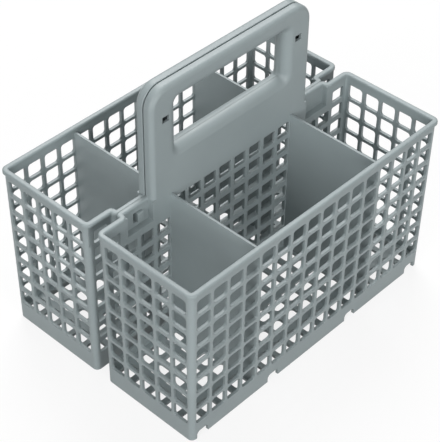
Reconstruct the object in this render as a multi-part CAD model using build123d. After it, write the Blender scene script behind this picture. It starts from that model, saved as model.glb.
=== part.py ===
from build123d import *
import os

# Dishwasher cutlery basket: two like half baskets, moulded in one piece each and clipped back to back.
# Millimetres. X runs along the basket, Y across it, Z up from the feet. The halves meet at Y = 0.

# Overall sizes
length = 242.4              # over the rim beads, along X
half_depth = 87.2           # seam plane to the outside of the long rim bead
basket_height = 133.0       # feet to the top of the rim bead
handle_rise = 81.0          # rim to the top of the handle
wall = 2.2                  # moulded wall
draft = 1.0                 # how far each outer wall leans in from the rim down to the feet
corner_radius = 3.8         # upright corners, on the outside
seam_clearance = 0.1        # each half stays this far from the seam plane

# Rim bead
rim_lip = 1.5               # bead proud of the wall, outside
rim_inside = 0.4            # bead proud of the wall, towards the bin
rim_drop = 2.6              # height of the bead
rim_rounding = 1.2          # upper edges of the bead

# Inner wall, set back from the seam, and its two recesses beside the handle
inner_gap = 5.2             # seam plane to the near face of the inner wall
recess_length = 22.4        # along X, from the handle outwards
recess_inset = 0.5          # seam side of a recess's bead to its wall
ledge_drop = 17.0           # rim to the ledge under a recess

# Floor, dividers and feet
floor_height = 7.0          # feet to the underside of the floor
divider_wall = 1.8
divider_drop = 3.5          # rim to the top of a divider
notch_width = 10.4          # gaps between the feet under the long wall
notch_height = 6.0
notch_rounding = 3.0
notch_spacing = 80.8        # between the two middle gaps
notch_inset = 11.0          # end of the basket to the middle of an outer gap

# Lattice
bar = 2.3                   # between neighbouring holes
inner_upright = 3.2         # bars of the inner wall, which are wider
inner_crossbar = 4.1
floor_bar = 4.2             # bars of the floor
long_pitch = 14.5           # along X
short_pitch = 14.6          # along Y
row_pitch = 14.1            # along Z
lattice_drop = 7.8          # rim to the upper edge of the top row

# Handle: a shell open towards the seam, with a window for the fingers
handle_length = 148.2
handle_corner = 14.0        # upper corners, seen from the front
handle_edge = 3.5           # rounding of the outer edge
seam_edge = 0.6             # rounding of the outer edge at the seam
handle_gap = 0.4            # seam plane to the edge of the shell, which leaves a joint line
handle_post = 23.0          # beside the window
handle_bar = 14.5           # above the window
window_height = 37.5
window_corner = 2.5
window_edge = 6.6           # rounding of the window's edge
eyelet_width = 6.0          # small square holes in the handle's face
eyelet_height = 4.5
eyelet_inset = 12.6         # end of the handle to the middle of a hole
eyelet_drop = 23.5          # top of the handle to the middle of a hole

# Clip: a hook on one recess goes through a window in the other half's recess and slides behind its edge
hook_distance = 7.7         # handle to the neck of the hook
hook_neck = 3.4             # along X
hook_reach = 1.6            # lip past the neck, towards the handle
hook_lip = 2.0              # thickness of the lip
hook_lift = 3.5             # ledge to the underside of the hook
hook_height = 7.3
hook_rounding = 0.8         # edges of the lip
hook_play = 0.3
clip_travel = 2.4           # sliding room in the clip window

# Worked-out places
half_length = length / 2 - rim_lip
outer_face = half_depth - rim_lip
inner_face = inner_gap + wall
floor_top = floor_height + wall
wall_top = basket_height - rim_drop / 2
ledge_height = basket_height - ledge_drop
seam_wall_near = seam_clearance + recess_inset
seam_wall_far = seam_wall_near + wall
bead_width = rim_lip + wall + rim_inside
turn_room = inner_gap - seam_wall_near - 2 * seam_clearance
far_turn = turn_room * (rim_lip + wall / 2) / bead_width
near_turn = turn_room - far_turn
handle_height = basket_height + handle_rise
handle_end = handle_length / 2
recess_end = handle_end + recess_length
window_head = handle_height - handle_bar
window_sill = window_head - window_height
window_length = handle_length - 2 * handle_post
hook_start = handle_end + hook_distance
hook_end = hook_start + hook_neck
hook_bottom = ledge_height + hook_lift
hook_top = hook_bottom + hook_height
past = 5.0                  # cutters run this far past what they cut

# Rows and columns of the lattice: as many as fit
top_row_edge = basket_height - lattice_drop
rows = int((top_row_edge - floor_top) / row_pitch)
columns = int(2 * half_length / long_pitch)
end_columns = columns // 4
short_columns = int((outer_face - wall - inner_face) / short_pitch)
divider_place = long_pitch * (columns / 2 - end_columns)
mid_depth = (outer_face - wall + inner_face) / 2


def block(x, y, z):
    """A box between two corners, given as a pair along each axis."""
    centre = ((x[0] + x[1]) / 2, (y[0] + y[1]) / 2, (z[0] + z[1]) / 2)
    return Pos(*centre) * Box(abs(x[1] - x[0]), abs(y[1] - y[0]), abs(z[1] - z[0]))


def leaning_block(bottom, top, inset):
    """The bin as a full body between two heights, drawn in by an inset, with leaning outer walls."""
    leans = [draft * (1 - z / basket_height) for z in (bottom, top)]
    ends = [half_length - inset - lean for lean in leans]
    fronts = [outer_face - inset - lean for lean in leans]
    back = inner_gap + inset
    front_view = Polygon((-ends[0], bottom), (ends[0], bottom), (ends[1], top), (-ends[1], top), align=None)
    end_view = Polygon((-fronts[0], bottom), (-back, bottom), (-back, top), (-fronts[1], top), align=None)
    body = extrude(Plane.XZ * front_view, amount=length)
    body &= extrude(Plane.YZ * end_view, amount=length, both=True)
    corners = [edge for edge in body.edges() if edge.bounding_box().size.Z > (top - bottom) / 2]
    return fillet(corners, max(corner_radius - inset, wall / 4))


def upright(outline, near, far):
    """A shape drawn in X and Z, with thickness from Y = -far to Y = -near."""
    return extrude(Plane.XZ.offset(near) * outline, amount=far - near)


def arch(inset):
    """The outline of the handle, drawn in by an inset, down to the ledge."""
    bottom = ledge_height - wall
    width = handle_length - 2 * inset
    top = handle_height - inset
    sheet = Pos(0, (bottom + top) / 2) * Rectangle(width, top - bottom)
    corners = sheet.vertices().sort_by(Axis.Y)[-2:]
    return fillet(corners, handle_corner - inset)


def window(margin):
    """The outline of the handle's window, widened by a margin."""
    height = window_head - window_sill + 2 * margin
    outline = RectangleRounded(window_length + 2 * margin, height, window_corner + margin)
    return Pos(0, (window_head + window_sill) / 2) * outline


def rounded_handle(inset, near, far):
    """The handle as a full body, its face at Y = -far, with rounded edges there."""
    body = upright(arch(inset), near, far)
    face_edges = body.faces().sort_by(Axis.Y)[0].edges()
    body = fillet(face_edges.sort_by(Axis.Z)[1:], max(handle_edge - inset, wall / 4))
    opening = upright(window(inset), near, far)
    edges = (body - opening).faces().sort_by(Axis.Y)[0].inner_wires()[0].edges()
    return fillet(edges, max(window_edge - inset, wall / 4))


def handle():
    outside = rounded_handle(0, handle_gap, inner_face)
    seam_edges = outside.faces().sort_by(Axis.Y)[-1].outer_wire().edges().sort_by(Axis.Z)[1:]
    outside = fillet(seam_edges, seam_edge)
    inside = rounded_handle(wall, 0, inner_gap)
    return outside - inside


def inner_line(start, side):
    """The middle of the inner wall, from the handle round a recess and on to the corner."""
    near = -(seam_wall_near + wall / 2)
    back = -(inner_gap + wall / 2)
    turn = recess_end + wall / 2
    corner = half_length - wall / 2
    return [(side * start, near), (side * turn, near), (side * turn, back), (side * corner, back)]


def shell():
    """The bin of one half: leaning outer walls, set-back inner wall, floor, and skirt round the feet."""
    body = leaning_block(0, wall_top, 0)
    body -= leaning_block(floor_top, wall_top + past, wall)
    body -= leaning_block(-past, floor_height, wall)
    for side in (-1, 1):
        along = (side * handle_end, side * recess_end)
        body -= block(along, (-inner_face - past, -inner_gap), (ledge_height, wall_top + past))
    return body


def recess_walls():
    """Wall and ledge of the two recesses, which reach the seam plane beside the handle."""
    pieces = []
    for side in (-1, 1):
        line = inner_line(handle_end - wall, side)
        band = trace(FilletPolyline(*line, radius=[near_turn, far_turn]), wall)
        pieces.append(extrude(Pos(0, 0, ledge_height - wall) * band, amount=wall_top - ledge_height + wall))
        along = (side * (handle_end - wall), side * (recess_end + wall / 2))
        pieces.append(block(along, (-inner_face, -seam_wall_near), (ledge_height - wall, ledge_height)))
    return pieces


def dividers():
    pieces = []
    room = leaning_block(floor_height, wall_top, wall / 2)
    for side in (-1, 1):
        along = (side * divider_place - divider_wall / 2, side * divider_place + divider_wall / 2)
        sheet = block(along, (-half_depth, 0), (floor_height, basket_height - divider_drop))
        pieces.append(sheet & room)
    return pieces


def rim():
    """The rounded bead along the top of every wall, from one side of the handle round to the other."""
    bottom = basket_height - rim_drop
    front = -(outer_face - wall / 2)
    right = inner_line(handle_end - wall / 2, 1)
    left = inner_line(handle_end - wall / 2, -1)
    points = right + [(right[-1][0], front), (left[-1][0], front)] + left[::-1]
    turns = [near_turn, far_turn]
    corners = [corner_radius - wall / 2] * 4
    line = Pos(0, 0, bottom) * FilletPolyline(*points, radius=turns + corners + turns[::-1])
    section = Pos((rim_lip - rim_inside) / 2, rim_drop / 2) * Rectangle(bead_width, rim_drop)
    section = fillet(section.vertices().group_by(Axis.Y)[-1], rim_rounding)
    start = Plane(line @ 0, x_dir=(0, 1, 0), z_dir=(1, 0, 0))
    bead = sweep(start * section, line)
    return bead - block((-length, length), (-seam_clearance, past), (bottom - past, basket_height + past))


def hook():
    """Neck and lip of the clip, on the right-hand recess, reaching across the seam."""
    height = (hook_bottom, hook_top)
    behind = seam_wall_far + hook_play
    neck = block((hook_start, hook_end), (-seam_wall_far, behind + hook_lip / 2), height)
    lip = block((hook_start - hook_reach, hook_end), (behind, behind + hook_lip), height)
    lip = fillet(lip.faces().sort_by(Axis.Y)[-1].edges(), hook_rounding)
    return neck + lip


def clip_window():
    """The opening in the left-hand recess for the other half's hook, with room for it to slide."""
    along = (-hook_end - clip_travel, -hook_start + hook_play)
    height = (hook_bottom - hook_play, hook_top + hook_play)
    return block(along, (-seam_wall_far - wall / 2, past), height)


def spread(count, pitch):
    """Places at a pitch, centred on zero."""
    return [pitch * (number - (count - 1) / 2) for number in range(count)]


def hole_cutters(plane, places, width, height, depth):
    """Cutters for square holes at places on a plane, each going through a wall."""
    hole = Rectangle(width, height)
    return [extrude(plane * Pos(*place) * hole, amount=depth) for place in places]


def lattice():
    """Cutters for the holes in the long wall, the inner wall, the two end walls and the floor."""
    long_hole = long_pitch - bar
    short_hole = short_pitch - bar
    high_hole = row_pitch - bar
    along = spread(columns, long_pitch)
    across = [y - mid_depth for y in spread(short_columns, short_pitch)]
    levels = [top_row_edge - high_hole / 2 - row_pitch * row for row in range(rows)]
    depth = draft + wall + 2 * past

    long_places = [(x, z) for x in along for z in levels]
    long_plane = Plane.XZ.offset(outer_face + past - depth)
    cutters = hole_cutters(long_plane, long_places, long_hole, high_hole, depth)

    solid_band = (divider_place, recess_end + wall)
    inner_places = []
    for x, z in long_places:
        if z < ledge_height - wall or not solid_band[0] < abs(x) < solid_band[1]:
            inner_places.append((x, z))
    inner_plane = Plane.XZ.offset(inner_gap - wall)
    inner_hole = (long_pitch - inner_upright, row_pitch - inner_crossbar)
    cutters += hole_cutters(inner_plane, inner_places, *inner_hole, 3 * wall)

    end_places = [(y, z) for y in across for z in levels]
    for start in (-half_length - past, half_length + past - depth):
        cutters += hole_cutters(Plane.YZ.offset(start), end_places, short_hole, high_hole, depth)

    floor_places = [(x, y) for x in along for y in across]
    floor_plane = Plane.XY.offset(floor_height - wall)
    floor_hole = (long_pitch - floor_bar, short_pitch - floor_bar)
    cutters += hole_cutters(floor_plane, floor_places, *floor_hole, 3 * wall)
    return cutters


def notches():
    """Gaps between the feet, in the skirt under the long wall."""
    outer_place = half_length - notch_inset
    inner_place = notch_spacing / 2
    cutters = []
    for place in (-outer_place, -inner_place, inner_place, outer_place):
        sheet = Pos(place, 0) * Rectangle(notch_width, 2 * notch_height)
        sheet = fillet(sheet.vertices().group_by(Axis.Y)[-1], notch_rounding)
        cutters.append(upright(sheet, outer_face - draft - wall - past, outer_face + past))
    return cutters


def eyelets():
    """Small square holes in the face of the handle."""
    cutters = []
    for side in (-1, 1):
        middle = Pos(side * (handle_end - eyelet_inset), handle_height - eyelet_drop)
        sheet = middle * Rectangle(eyelet_width, eyelet_height)
        cutters.append(upright(sheet, inner_gap - wall / 2, inner_face + past))
    return cutters


half = shell().fuse(*recess_walls(), *dividers(), handle(), rim(), hook())
half = half.cut(*lattice(), *notches(), *eyelets(), clip_window())

front_half_basket = half
rear_half_basket = Rot(0, 0, 180) * half

os.makedirs("parts", exist_ok=True)
export_step(front_half_basket, "parts/front_half_basket.step", write_pcurves=False)
export_step(rear_half_basket, "parts/rear_half_basket.step", write_pcurves=False)
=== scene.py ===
import math

import bmesh
import bpy
from mathutils import Matrix, Vector


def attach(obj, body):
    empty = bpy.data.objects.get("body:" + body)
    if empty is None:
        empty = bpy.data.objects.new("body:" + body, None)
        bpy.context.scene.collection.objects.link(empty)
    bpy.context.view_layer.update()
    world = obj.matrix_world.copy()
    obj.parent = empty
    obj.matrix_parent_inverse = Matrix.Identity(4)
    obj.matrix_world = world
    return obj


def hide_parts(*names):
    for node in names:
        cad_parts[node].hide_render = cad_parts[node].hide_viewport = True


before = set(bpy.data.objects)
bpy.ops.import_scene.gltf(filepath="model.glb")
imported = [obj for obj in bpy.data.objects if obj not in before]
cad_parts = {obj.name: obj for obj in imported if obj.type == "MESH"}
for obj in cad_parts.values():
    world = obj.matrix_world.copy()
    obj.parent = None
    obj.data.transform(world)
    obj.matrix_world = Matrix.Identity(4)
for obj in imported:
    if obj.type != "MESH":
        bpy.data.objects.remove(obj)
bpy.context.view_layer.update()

# Each half of the basket and the name of the dressed moulding that stands for it
PIECES = {"front_half_basket": "front_moulding", "rear_half_basket": "rear_moulding"}

# Camera, fitted to the photograph
IMAGE_WIDTH = 440           # pixels
FOCAL_PIXELS = 1460.65
SENSOR_WIDTH = 36.0         # millimetres
AZIMUTH = -47.10            # degrees
ELEVATION = 41.276
ROLL = 0.769
TARGET = Vector((0.0, 0.0, 0.090))                              # metres
CAMERA_OFFSET = Vector((-0.002836, -0.019225, 0.996516))        # from the target, to the right, up and back
CLIP_END = 20.0             # metres, well past the floor

# Round corners of the lattice holes, metres
HOLE_ROUNDING = 0.0022
INNER_HOLE_ROUNDING = 0.0012
INNER_WALL_REACH = 0.010    # the inner wall lies this close to the seam
HOLE_STEPS = 4              # faces along a rounded corner

# How a corner of a lattice hole is told from the other edges, metres and radians
WALL_RANGE = (0.0019, 0.0026)       # length of the edge, through the wall
HOLE_RANGE = (0.0090, 0.0135)       # width of the hole's sides
RIGHT_ANGLE = math.pi / 2
ANGLE_PLAY = 0.05

# Meshing: vertices this close are one (metres), and edges sharper than this stay sharp (radians)
WELD = 1e-6
SHARP_ANGLE = math.radians(32)

# Edge of the handle's window at the seam of the halves, metres
WINDOW_REACH = 0.0535               # along X, each way from the middle
WINDOW_SPAN = (0.1597, 0.2018)      # along Z
JOINT_REACH = 0.0005                # edges of the lining lie this close to the seam
JOINT_GAP = 0.00005                 # and are brought this close

# Moulded plastic: lengths in metres, scales per metre. A tone is a place on the noise and a linear colour
FLOW_TONES = [
    (0.30, (0.264, 0.309, 0.317)),
    (0.50, (0.283, 0.330, 0.338)),
    (0.72, (0.302, 0.351, 0.359)),
]
FLOW_NOISE = {"Scale": 14.0, "Detail": 4.0}
GLOSS_NOISE = {"Scale": 60.0, "Detail": 3.0}
GRAIN_NOISE = {"Scale": 2400.0, "Detail": 2.0}
GRAIN_BUMP = {"Strength": 0.12, "Distance": 0.0001}
ROUGHNESS = {"To Min": 0.40, "To Max": 0.56}
PLASTIC_IOR = 1.49
EDGE_RADIUS = 0.0006
EDGE_SAMPLES = 6

# Floor: its colour as the camera sees it and as it lights the basket
FLOOR_SEEN = (0.85, 0.85, 0.85)
FLOOR_BOUNCE = (0.25, 0.25, 0.25)
WHITE = (1.0, 1.0, 1.0, 1.0)
FLOOR_WHITE = 0.85          # share of plain white in what the camera sees
FLOOR_ROUGHNESS = 0.9
FLOOR_REACH = 6.0           # metres
FLOOR_GAP = 0.0001          # keeps the floor off the undersides of the feet

# Lamps: place and diameter in metres, power in watts. All of them aim at one point in the basket
LAMP_AIM = Vector((0.0, 0.0, 0.1))
LAMPS = {
    "top_light": ((-0.2, -0.2, 1.9), 1.8, 8.5),
    "back_light": ((0.8, 0.9, 1.6), 1.2, 34.0),
    "left_light": ((-1.8, -0.5, 0.8), 1.2, 22.0),
    "front_light": ((-0.4, -1.85, 0.6), 1.0, 19.5),
}
AMBIENT = 0.08              # even light from all round


def add_object(name, data):
    """A new object in the scene."""
    made = bpy.data.objects.new(name, data)
    bpy.context.scene.collection.objects.link(made)
    return made


def add_node(tree, kind, inputs=None, **properties):
    """A new shader node, with the values of its input sockets and its own properties."""
    made = tree.nodes.new(kind)
    for name, value in properties.items():
        setattr(made, name, value)
    for socket, value in (inputs or {}).items():
        made.inputs[socket].default_value = value
    return made


def colour_ramp(tree, share, points):
    """Colours along a share from 0 to 1. Each point is a place and a linear colour."""
    ramp = add_node(tree, "ShaderNodeValToRGB")
    elements = ramp.color_ramp.elements
    while len(elements) > 1:
        elements.remove(elements[-1])
    elements[0].position = points[0][0]
    elements[0].color = (*points[0][1], 1.0)
    for place, colour in points[1:]:
        element = elements.new(place)
        element.color = (*colour, 1.0)
    tree.links.new(share, ramp.inputs["Fac"])
    return ramp.outputs["Color"]


def mix_shaders(tree, share, first, second):
    """The first shader where the share is 0, and the second where it is 1."""
    mix = add_node(tree, "ShaderNodeMixShader")
    tree.links.new(share, mix.inputs["Fac"])
    tree.links.new(first, mix.inputs[1])
    tree.links.new(second, mix.inputs[2])
    return mix.outputs["Shader"]


def either_ray(tree, first, second):
    """1 for two kinds of ray and 0 for all others."""
    path = add_node(tree, "ShaderNodeLightPath")
    either = add_node(tree, "ShaderNodeMath", operation="MAXIMUM")
    tree.links.new(path.outputs[first], either.inputs[0])
    tree.links.new(path.outputs[second], either.inputs[1])
    return either.outputs["Value"]


def plastic_material():
    """Grey moulded plastic: fine spark-eroded grain, faint flow marks, edges rounded by the mould."""
    material = bpy.data.materials.new("moulded_plastic")
    material.use_nodes = True
    tree = material.node_tree
    links = tree.links
    shader = tree.nodes["Principled BSDF"]
    shader.inputs["IOR"].default_value = PLASTIC_IOR
    coords = add_node(tree, "ShaderNodeTexCoord")

    flow = add_node(tree, "ShaderNodeTexNoise", FLOW_NOISE)
    links.new(coords.outputs["Object"], flow.inputs["Vector"])
    links.new(colour_ramp(tree, flow.outputs["Fac"], FLOW_TONES), shader.inputs["Base Color"])

    smear = add_node(tree, "ShaderNodeTexNoise", GLOSS_NOISE)
    links.new(coords.outputs["Object"], smear.inputs["Vector"])
    gloss = add_node(tree, "ShaderNodeMapRange", ROUGHNESS)
    links.new(smear.outputs["Fac"], gloss.inputs["Value"])
    links.new(gloss.outputs["Result"], shader.inputs["Roughness"])

    grain = add_node(tree, "ShaderNodeTexNoise", GRAIN_NOISE)
    links.new(coords.outputs["Object"], grain.inputs["Vector"])
    edge = add_node(tree, "ShaderNodeBevel", {"Radius": EDGE_RADIUS}, samples=EDGE_SAMPLES)
    bump = add_node(tree, "ShaderNodeBump", GRAIN_BUMP)
    links.new(grain.outputs["Fac"], bump.inputs["Height"])
    links.new(edge.outputs["Normal"], bump.inputs["Normal"])
    links.new(bump.outputs["Normal"], shader.inputs["Normal"])
    return material


def hole_reach(face, edge):
    """How far a face of a hole's side goes from one of the hole's corner edges."""
    along = (edge.verts[1].co - edge.verts[0].co).normalized()
    reach = 0.0
    for vertex in face.verts:
        arm = vertex.co - edge.verts[0].co
        reach = max(reach, (arm - along * arm.dot(along)).length)
    return reach


def is_hole_corner(edge):
    """True for the short concave edge between two sides of a lattice hole."""
    if len(edge.link_faces) != 2 or not WALL_RANGE[0] < edge.calc_length() < WALL_RANGE[1]:
        return False
    if abs(edge.calc_face_angle_signed() + RIGHT_ANGLE) > ANGLE_PLAY:
        return False
    return all(HOLE_RANGE[0] < hole_reach(face, edge) < HOLE_RANGE[1] for face in edge.link_faces)


def is_flat(edge):
    """True for an edge between two faces of one plane."""
    return len(edge.link_faces) == 2 and edge.calc_face_angle() < ANGLE_PLAY


def flat_diagonals(corners):
    """Edges that cut the sides of the holes into triangles, each of them once."""
    sides = [(corner, face) for corner in corners for face in corner.link_faces]
    found = [edge for corner, face in sides for edge in face.edges if edge is not corner and is_flat(edge)]
    return list(dict.fromkeys(found))


def corner_radius(corner):
    """Radius of a hole's corner, which is smaller in the inner wall, where the holes run along Y."""
    start, end = (vertex.co for vertex in corner.verts)
    if abs(end.y - start.y) > WALL_RANGE[0] and abs(start.y) < INNER_WALL_REACH:
        return INNER_HOLE_ROUNDING
    return HOLE_ROUNDING


def side_cut(corner, face, radius):
    """Cuts a strip off a hole's side, along a corner edge, and returns the new vertex at each end."""
    made = []
    for vertex in corner.verts:
        side = next(edge for edge in vertex.link_edges if edge is not corner and face in edge.link_faces)
        made.append(bmesh.utils.edge_split(side, vertex, radius / side.calc_length())[1])
    bmesh.utils.face_split(face, made[0], made[1])
    return made


def corner_arc(work, vertex, start, end):
    """Vertices of a concave quarter round from start to end, in place of the corner at a vertex."""
    arm_a = start.co - vertex.co
    arm_b = end.co - vertex.co
    middle = vertex.co + arm_a + arm_b
    arc = [start]
    for step in range(1, HOLE_STEPS):
        turn = RIGHT_ANGLE * step / HOLE_STEPS
        arc.append(work.verts.new(middle - arm_b * math.cos(turn) - arm_a * math.sin(turn)))
    return arc + [end]


def round_corner(work, corner, radius):
    """Fills a hole's corner with a concave fillet, flush with both faces of the wall."""
    ends = list(corner.verts)
    first, second = list(corner.link_faces)
    a = side_cut(corner, first, radius)
    b = side_cut(corner, second, radius)
    for strip in list(corner.link_faces):
        work.faces.remove(strip)
    work.edges.remove(corner)
    arcs = [corner_arc(work, *points) for points in zip(ends, a, b)]
    outward = ends[0].co - ends[1].co
    flip = (a[0].co - ends[0].co).cross(b[0].co - ends[0].co).dot(outward) < 0
    for step in range(HOLE_STEPS):
        near = arcs[0][step:step + 2]
        far = arcs[1][step:step + 2]
        faces = [[ends[0], *near], [ends[1], *far[::-1]], [near[1], near[0], far[0], far[1]]]
        for corners in faces:
            work.faces.new(corners[::-1] if flip else corners)


def close_window_joint(work):
    """Brings the lining of the window up to the seam, so that no dark line shows round the window."""
    for vertex in work.verts:
        x, y, z = vertex.co
        if abs(x) < WINDOW_REACH and abs(y) < JOINT_REACH and WINDOW_SPAN[0] < z < WINDOW_SPAN[1]:
            vertex.co.y = math.copysign(JOINT_GAP, y)


def half_mesh(solid, name):
    """The mesh of a half basket as the solid has it, with the corners of its lattice holes rounded."""
    work = bmesh.new()
    work.from_mesh(solid.data)
    bmesh.ops.remove_doubles(work, verts=work.verts, dist=WELD)
    corners = [edge for edge in work.edges if is_hole_corner(edge)]
    bmesh.ops.dissolve_edges(work, edges=flat_diagonals(corners), use_verts=False)
    for corner in corners:
        round_corner(work, corner, corner_radius(corner))
    close_window_joint(work)
    for face in work.faces:
        face.smooth = True
    mesh = bpy.data.meshes.new(name)
    work.to_mesh(mesh)
    work.free()
    # The solid's own shading normals don't fit the new faces
    for layer in [item.name for item in mesh.attributes if "normal" in item.name]:
        mesh.attributes.remove(mesh.attributes[layer])
    mesh.set_sharp_from_angle(angle=SHARP_ANGLE)
    return mesh


def build_half(solid, name, material):
    """A moulding that stands for one half of the basket."""
    half = add_object(name, half_mesh(solid, name))
    half.data.materials.append(material)
    weigh = half.modifiers.new("normals", "WEIGHTED_NORMAL")
    weigh.keep_sharp = True
    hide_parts(solid.name)
    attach(half, "root")


def floor_material():
    """Pale floor that the camera sees almost white, keeps a faint shadow and is clear from below."""
    material = bpy.data.materials.new("floor")
    material.use_nodes = True
    tree = material.node_tree
    links = tree.links
    shader = tree.nodes["Principled BSDF"]
    shader.inputs["Roughness"].default_value = FLOOR_ROUGHNESS
    shader.inputs["Specular IOR Level"].default_value = 0.0
    seen = either_ray(tree, "Is Camera Ray", "Is Glossy Ray")
    tone = colour_ramp(tree, seen, [(0.0, FLOOR_BOUNCE), (1.0, FLOOR_SEEN)])
    links.new(tone, shader.inputs["Base Color"])
    share = add_node(tree, "ShaderNodeMath", {1: FLOOR_WHITE}, operation="MULTIPLY")
    links.new(seen, share.inputs[0])
    glow = add_node(tree, "ShaderNodeEmission", {"Color": WHITE})
    upper = mix_shaders(tree, share.outputs["Value"], shader.outputs["BSDF"], glow.outputs["Emission"])
    side = add_node(tree, "ShaderNodeNewGeometry")
    clear = add_node(tree, "ShaderNodeBsdfTransparent")
    sided = mix_shaders(tree, side.outputs["Backfacing"], upper, clear.outputs["BSDF"])
    links.new(sided, tree.nodes["Material Output"].inputs["Surface"])
    return material


def build_floor():
    """A wide square just under the feet."""
    mesh = bpy.data.meshes.new("floor")
    corners = [(-FLOOR_REACH, -FLOOR_REACH), (FLOOR_REACH, -FLOOR_REACH)]
    corners += [(FLOOR_REACH, FLOOR_REACH), (-FLOOR_REACH, FLOOR_REACH)]
    mesh.from_pydata([(x, y, -FLOOR_GAP) for x, y in corners], [], [(0, 1, 2, 3)])
    mesh.materials.append(floor_material())
    floor = add_object("floor", mesh)


def build_world():
    """Faint even light from all round, which the camera sees as plain white."""
    world = bpy.data.worlds.new("studio")
    bpy.context.scene.world = world
    world.use_nodes = True
    tree = world.node_tree
    ambient = tree.nodes["Background"]
    ambient.inputs["Color"].default_value = WHITE
    ambient.inputs["Strength"].default_value = AMBIENT
    white = add_node(tree, "ShaderNodeBackground", {"Color": WHITE})
    seen = either_ray(tree, "Is Camera Ray", "Is Transmission Ray")
    both = mix_shaders(tree, seen, ambient.outputs["Background"], white.outputs["Background"])
    tree.links.new(both, tree.nodes["World Output"].inputs["Surface"])


def build_lamp(name, place, size, power):
    """A round softbox that aims at the basket."""
    light = bpy.data.lights.new(name, "AREA")
    light.shape = "DISK"
    light.size = size
    light.energy = power
    lamp = add_object(name, light)
    lamp.location = place
    lamp.rotation_euler = (LAMP_AIM - Vector(place)).to_track_quat("-Z", "Y").to_euler()


def build_camera():
    """The camera of the photograph."""
    azimuth = math.radians(AZIMUTH)
    elevation = math.radians(ELEVATION)
    roll = math.radians(ROLL)
    back = Vector((
        math.sin(azimuth) * math.cos(elevation),
        -math.cos(azimuth) * math.cos(elevation),
        math.sin(elevation),
    ))
    level = Vector((math.cos(azimuth), math.sin(azimuth), 0.0))
    upward = back.cross(level)
    right = math.cos(roll) * level + math.sin(roll) * upward
    up = -math.sin(roll) * level + math.cos(roll) * upward
    place = TARGET + CAMERA_OFFSET.x * right + CAMERA_OFFSET.y * up + CAMERA_OFFSET.z * back
    data = bpy.data.cameras.new("camera")
    data.sensor_fit = "HORIZONTAL"
    data.sensor_width = SENSOR_WIDTH
    data.lens = FOCAL_PIXELS * SENSOR_WIDTH / IMAGE_WIDTH
    data.clip_end = CLIP_END
    camera = add_object("camera", data)
    axes = Matrix((right, up, back)).transposed()
    camera.matrix_world = Matrix.Translation(place) @ axes.to_4x4()
    bpy.context.scene.camera = camera


plastic = plastic_material()
for node_name, piece_name in PIECES.items():
    build_half(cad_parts[node_name], piece_name, plastic)

build_floor()
build_world()
for lamp_name, (lamp_place, lamp_size, lamp_power) in LAMPS.items():
    build_lamp(lamp_name, lamp_place, lamp_size, lamp_power)
build_camera()
bpy.context.scene.view_settings.view_transform = "Standard"
